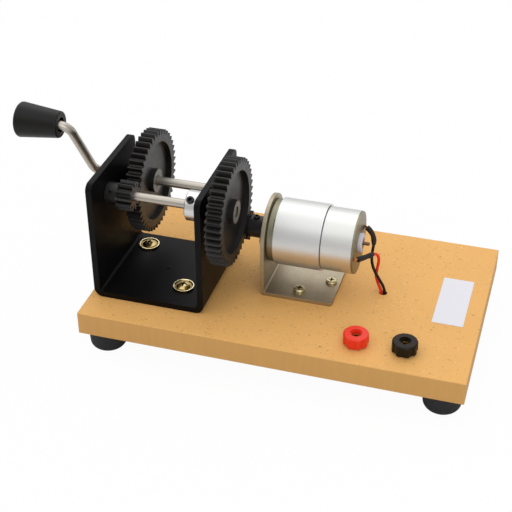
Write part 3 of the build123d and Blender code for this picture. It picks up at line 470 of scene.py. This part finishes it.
def spline(name, points, diameter):
    """Smooth cord through the control points, in the model's frame."""
    data = bpy.data.curves.new(name, "CURVE")
    data.dimensions = "3D"
    data.resolution_u = 16
    line = data.splines.new("NURBS")
    line.points.add(len(points) - 1)
    for control, point in zip(line.points, points):
        control.co = (*point, 1)
    line.order_u = 3
    line.use_endpoint_u = True
    data.bevel_depth = diameter / 2
    data.bevel_resolution = 5
    data.use_fill_caps = True
    cord = bpy.data.objects.new(name, data)
    bpy.context.collection.objects.link(cord)
    return cord


def spline_points(cord):
    """Points along a cord's own line, without its thickness."""
    depth = cord.data.bevel_depth
    cord.data.bevel_depth = 0
    bpy.context.view_layer.update()
    graph = bpy.context.evaluated_depsgraph_get()
    mesh = bpy.data.meshes.new_from_object(cord.evaluated_get(graph), depsgraph=graph)
    found = [v.co.copy() for v in mesh.vertices]
    bpy.data.meshes.remove(mesh)
    cord.data.bevel_depth = depth
    return found


def meshed(cord):
    """The cord as a smooth mesh tube without materials."""
    use(cord)
    bpy.ops.object.convert(target="MESH")
    tube = bpy.context.object
    bpy.ops.object.shade_smooth_by_angle(angle=SMOOTH_ANGLE)
    tube.data.materials.clear()
    return tube


def from_board(point):
    """Place of a point given in millimetres from the board's front left top corner."""
    return corner + Vector(point) / 1000


# -------------------------------------------------------------------- pieces
class GENERATOR_OT_board(bpy.types.Operator):
    """Finish the baseboard, its feet and the blank label"""

    bl_idname = "generator.board"
    bl_label = "Board"

    def execute(self, context):
        c = context.scene.generator_colours
        coat(fibreboard(c), "baseboard")
        coat(rubber("rubber", c.rubber), "rubber_feet")
        coat(plated("foot_screw_zinc", c.brass), "foot_screws")
        coat(vinyl(c), "blank_label")
        return {"FINISHED"}


class GENERATOR_OT_gear_frame(bpy.types.Operator):
    """Finish the black frame, its bushes, screws and washers"""

    bl_idname = "generator.gear_frame"
    bl_label = "Gear frame"

    def execute(self, context):
        c = context.scene.generator_colours
        softened("gear_frame", powder_coat(c), "root", 0.0005)
        coat(plated("bush_bronze", BRONZE), "crank_bushes", "layshaft_bushes")
        coat(cup_metal(c), "frame_cup_washers")
        screws = "frame_screws"
        finish = screw_head("screw_yellow", YELLOW_ZINC, screws, 0.0094, rising=False, low=0.0006)
        coat(finish, screws)
        return {"FINISHED"}


class GENERATOR_OT_gears(bpy.types.Operator):
    """Finish the gears, pinions, shafts, collars and set screws"""

    bl_idname = "generator.gears"
    bl_label = "Gears and shafts"

    # Radius of the rough end of each wheel's hub.
    hub_radii = {"crank_gear": 0.0080, "layshaft_gear": 0.0070}

    def execute(self, context):
        c = context.scene.generator_colours
        edge = context.scene.generator_sizes.edge
        black = nylon(c)
        for name, body in (
            ("crank_gear", "crank"),
            ("layshaft_gear", "layshaft"),
            ("layshaft_pinion", "layshaft"),
            ("motor_pinion", "rotor"),
        ):
            finish = black
            if name in self.hub_radii:
                low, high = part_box(name)
                hub = (high.x, (low + high) / 2, self.hub_radii[name])
                finish = nylon(c, f"{name}_nylon", hub)
            softened(name, finish, body, edge)
        coat(drawn_steel(c, "ground_steel"), "layshaft")
        coat(turned("collar", c.aluminium, 0.24, 0.38), "layshaft_collar")
        coat(turned("steel_collar", c.steel, 0.24, 0.38), "crank_collar")
        coat(
            plated("black_oxide", (0.05, 0.048, 0.045), 0.3, 0.5),
            "crank_gear_grub",
            "crank_collar_grub",
            "layshaft_gear_grub",
            "layshaft_pinion_grub",
            "layshaft_collar_grub",
            "motor_pinion_grub",
        )
        return {"FINISHED"}


class GENERATOR_OT_crank(bpy.types.Operator):
    """Finish the crank rod, knob and washer"""

    bl_idname = "generator.crank"
    bl_label = "Crank"

    def execute(self, context):
        c = context.scene.generator_colours
        coat(drawn_steel(c), "crank_rod")
        coat(satin_knob(c), "crank_knob")
        coat(turned("washer_steel", c.steel, 0.24, 0.4), "knob_washer")
        return {"FINISHED"}


class GENERATOR_OT_motor(bpy.types.Operator):
    """Finish the motor, inside and out, and its bracket and screws"""

    bl_idname = "generator.motor"
    bl_label = "Motor"

    def execute(self, context):
        c = context.scene.generator_colours
        softened("motor_bracket", dull_sheet(c), "root", 0.0003)
        coat(motor_steel(c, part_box("motor_end_plate")[1].x), "motor_shaft")
        coat(satin_metal("sleeve", c.aluminium), "motor_flux_ring")
        ring_low, ring_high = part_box("motor_flux_ring")
        coat(can_metal(c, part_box("motor_can")[0].x, ring_low.x, ring_high.x), "motor_can")
        coat(plated("end_plate", c.end_plate, 0.34, 0.48), "motor_end_plate")
        coat(moulded("bearing_plastic", (0.62, 0.60, 0.66), 0.4, 0), "rear_bearing_cap")
        coat(moulded("pale_plastic", (0.70, 0.66, 0.60), 0.4, 0), "brush_carrier")
        screws = "bracket_screws"
        finish = screw_head("bracket_screw", TIN, screws, 0.0076, rising=True, low=0.0001)
        coat(finish, screws)
        coat(plated("face_screw", c.steel), "motor_face_screws")
        coat(plated("bronze", BRONZE), "motor_front_bush", "motor_rear_bush")
        coat(plated("ferrite", (0.05, 0.05, 0.05), 0.6, 0.8), "motor_magnets", "motor_brushes")
        coat(plated("laminations", (0.20, 0.20, 0.21), 0.4, 0.6), "armature_core")
        coat(plated("copper", COPPER, 0.2, 0.35), "armature_winding", "commutator")
        return {"FINISHED"}


class GENERATOR_OT_terminals(bpy.types.Operator):
    """Finish the terminals above and below the board"""

    bl_idname = "generator.terminals"
    bl_label = "Terminals"

    def execute(self, context):
        c = context.scene.generator_colours
        edge = context.scene.generator_sizes.edge
        for name, shade in (("red", c.red), ("black", c.black)):
            cap = moulded(f"{name}_moulding", shade, specular=0.3 if name == "red" else 0.14)
            softened(
                f"{name}_terminal_cap", cap, f"{name}_cap", edge, angle=30
            )
            coat(cap, f"{name}_insulator")
            coat(plated(f"{name}_brass", c.brass), f"{name}_socket_post", f"{name}_cap_insert")
            coat(plated(f"{name}_tab", TAB_COPPER), f"{name}_solder_tab")
            coat(moulded(f"{name}_under", shade, 0.35, 0), f"{name}_under_lead")
        coat(plated("nut_brass", c.brass), "terminal_nuts")
        coat(plated("tag_tin", (0.62, 0.60, 0.55)), "solder_tags")
        coat(moulded("red_fibre", (0.16, 0.05, 0.03), 0.6, 0), "terminal_washers")
        return {"FINISHED"}


class GENERATOR_OT_leads(bpy.types.Operator):
    """Make the two leads and the heat-shrink tubes over their ends"""

    bl_idname = "generator.leads"
    bl_label = "Leads"

    # Routes are in millimetres from the board's front left top corner.
    red_route = [
        (169.5, 62.2, 33.7),
        (174.2, 69.8, 32.2),
        (177.6, 77.6, 30.2),
        (179.2, 81.4, 23.6),
        (178.1, 82.2, 15.8),
        (177.4, 81.8, 9.2),
        (179.7, 79.9, 4.8),
        (182.4, 78.0, 1.0),
        (182.5, 77.5, -5.0),
        (182.4, 77.4, -11.0),
        (182.4, 77.4, -16.0),
    ]
    black_route = [
        (168.9, 91.1, 39.0),
        (172.2, 90.2, 36.7),
        (174.0, 88.0, 31.6),
        (173.6, 85.0, 25.6),
        (174.0, 82.0, 20.3),
        (176.4, 79.6, 15.2),
        (180.6, 78.0, 9.7),
        (184.3, 77.5, 4.0),
        (185.1, 77.9, -2.8),
        (185.2, 77.8, -9.4),
        (185.2, 77.8, -16.0),
    ]

    # How far the shrunk tube starts before its lead.
    lap = 0.0012
    # Shares of the shrunk tube's length, with its radius there over the full one.
    widths = ((0.0, 1.0), (0.15, 1.0), (0.45, 0.88), (0.72, 0.98), (0.9, 0.86), (1.0, 0.68))

    def execute(self, context):
        c = context.scene.generator_colours
        sizes = context.scene.generator_sizes
        shrink = rubber("heat_shrink", c.shrink)
        for name, route, sleeve_length in (
            ("red", self.red_route, 0.0145),
            ("black", self.black_route, 0.0120),
        ):
            route = [from_board(p) for p in route]
            lead = spline(f"{name}_lead_flex", route, sizes.lead)
            line = spline_points(lead)
            lead = meshed(lead)
            insulation = moulded(f"{name}_insulation", getattr(c, name), 0.5, 0, 0.2)
            lead.data.materials.append(insulation)
            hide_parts(f"{name}_lead")
            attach(lead, "root")
            self.sleeve(name, line, sleeve_length, sizes.sleeve, shrink)
        return {"FINISHED"}

    def sleeve(self, name, line, length, diameter, material):
        """Shrunk tube that follows the lead, wide at its start and pulled in at its end."""
        along = (line[1] - line[0]).normalized()
        path = [line[0] - along * self.lap]
        run = 0
        for before, at in zip(line, line[1:]):
            path.append(before)
            run += (at - before).length
            if run > length:
                break
        tube = spline(f"{name}_sleeve", path, diameter)
        controls = tube.data.splines[0].points
        for index, control in enumerate(controls):
            control.radius = self.shrunk(index / (len(controls) - 1))
        tube = meshed(tube)
        tube.data.materials.append(material)
        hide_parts(f"{name}_heatshrink")
        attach(tube, "root")

    def shrunk(self, share):
        """Radius of the tube over its full one, at a share of its length."""
        for (before, wide), (after, narrow) in zip(self.widths, self.widths[1:]):
            if share <= after:
                return wide + (narrow - wide) * (share - before) / (after - before)


class GENERATOR_OT_studio(bpy.types.Operator):
    """Make the pale floor, the lamps and the camera"""

    bl_idname = "generator.studio"
    bl_label = "Studio"

    # Each lamp's name, place, diameter and power.
    lamps = (
        ("key", (-0.30, 0.05, 1.20), 2.8, 14.0),
        ("fill", (0.60, -0.95, 0.65), 0.9, 3.5),
        ("back", (0.10, 0.85, 0.95), 1.9, 4.5),
    )
    lamp_aim = (0, 0, 0.05)
    camera_place = (0.19055, -0.63111, 0.48944)
    camera_degrees = (56.0472, 0.2248, 16.7782)
    camera_lens = 84.139
    # How much of the floor the camera sees as plain white.
    floor_glow = 0.96

    def execute(self, context):
        scene = context.scene
        deselect()
        bpy.ops.mesh.primitive_plane_add(size=6, location=(0, 0, 0))
        floor = context.object
        floor.name = "floor"
        floor.data.materials.append(self.floor_paint())
        self.sky(scene)
        for name, place, size, power in self.lamps:
            self.lamp(name, place, size, power)
        rotation = [radians(degrees) for degrees in self.camera_degrees]
        bpy.ops.object.camera_add(location=self.camera_place, rotation=rotation)
        camera = context.object
        camera.data.sensor_width = 36
        camera.data.lens = self.camera_lens
        camera.data.clip_start = 0.01
        scene.camera = camera
        scene.view_settings.view_transform = "Standard"
        return {"FINISHED"}

    def lamp(self, name, place, size, power):
        bpy.ops.object.light_add(type="AREA", location=place)
        lamp = bpy.context.object
        lamp.name = f"{name}_lamp"
        lamp.data.shape = "DISK"
        lamp.data.size = size
        lamp.data.energy = power
        aim = Vector(self.lamp_aim) - Vector(place)
        lamp.rotation_euler = aim.to_track_quat("-Z", "Y").to_euler()

    def floor_paint(self):
        """Pale floor that the camera sees nearly white, with the object's shadow kept."""
        material = bpy.data.materials.new("floor_paint")
        material.use_nodes = True
        tree = material.node_tree
        shader = tree.nodes["Principled BSDF"]
        shader.inputs["Base Color"].default_value = (0.8, 0.8, 0.8, 1)
        shader.inputs["Roughness"].default_value = 0.9
        glow = tree.nodes.new("ShaderNodeEmission")
        glow.inputs["Strength"].default_value = 1.0
        mix = tree.nodes.new("ShaderNodeMixShader")
        share = tree.nodes.new("ShaderNodeMath")
        share.operation = "MULTIPLY"
        share.inputs[1].default_value = self.floor_glow
        rays = tree.nodes.new("ShaderNodeLightPath")
        tree.links.new(rays.outputs["Is Camera Ray"], share.inputs[0])
        tree.links.new(share.outputs[0], mix.inputs["Fac"])
        tree.links.new(shader.outputs["BSDF"], mix.inputs[1])
        tree.links.new(glow.outputs["Emission"], mix.inputs[2])
        tree.links.new(mix.outputs["Shader"], tree.nodes["Material Output"].inputs["Surface"])
        return material

    def sky(self, scene):
        """World that lights softly, and is white to the camera and through clear pieces."""
        world = bpy.data.worlds.new("studio_sky")
        world.use_nodes = True
        scene.world = world
        tree = world.node_tree
        soft = tree.nodes["Background"]
        soft.inputs["Color"].default_value = (1, 1, 1, 1)
        soft.inputs["Strength"].default_value = 0.55
        white = tree.nodes.new("ShaderNodeBackground")
        white.inputs["Color"].default_value = (1, 1, 1, 1)
        white.inputs["Strength"].default_value = 1.0
        rays = tree.nodes.new("ShaderNodeLightPath")
        white_rays = tree.nodes.new("ShaderNodeMath")
        white_rays.operation = "MAXIMUM"
        tree.links.new(rays.outputs["Is Camera Ray"], white_rays.inputs[0])
        tree.links.new(rays.outputs["Is Transmission Ray"], white_rays.inputs[1])
        mix = tree.nodes.new("ShaderNodeMixShader")
        tree.links.new(white_rays.outputs[0], mix.inputs["Fac"])
        tree.links.new(soft.outputs["Background"], mix.inputs[1])
        tree.links.new(white.outputs["Background"], mix.inputs[2])
        tree.links.new(mix.outputs["Shader"], tree.nodes["World Output"].inputs["Surface"])


# --------------------------------------------------------------------- panel
class GENERATOR_PT_sidebar(bpy.types.Panel):
    """Colours, sizes and pieces of the generator"""

    bl_idname = "GENERATOR_PT_sidebar"
    bl_label = "Hand crank generator"
    bl_space_type = "VIEW_3D"
    bl_region_type = "UI"
    bl_category = "Generator"

    def draw(self, context):
        for settings in (context.scene.generator_colours, context.scene.generator_sizes):
            for name in settings.bl_rna.properties.keys():
                if name not in ("rna_type", "name"):
                    self.layout.prop(settings, name)
        for operator in PIECES:
            self.layout.operator(operator.bl_idname)


PIECES = (
    GENERATOR_OT_board,
    GENERATOR_OT_gear_frame,
    GENERATOR_OT_gears,
    GENERATOR_OT_crank,
    GENERATOR_OT_motor,
    GENERATOR_OT_terminals,
    GENERATOR_OT_leads,
    GENERATOR_OT_studio,
)
CLASSES = (GeneratorColours, GeneratorSizes, *PIECES, GENERATOR_PT_sidebar)


def register():
    for cls in CLASSES:
        bpy.utils.register_class(cls)
    bpy.types.Scene.generator_colours = PointerProperty(type=GeneratorColours)
    bpy.types.Scene.generator_sizes = PointerProperty(type=GeneratorSizes)


def unregister():
    del bpy.types.Scene.generator_sizes
    del bpy.types.Scene.generator_colours
    for cls in reversed(CLASSES):
        bpy.utils.unregister_class(cls)


def main():
    register()
    for operator in PIECES:
        group, name = operator.bl_idname.split(".")
        getattr(getattr(bpy.ops, group), name)()


if __name__ == "__main__":
    main()
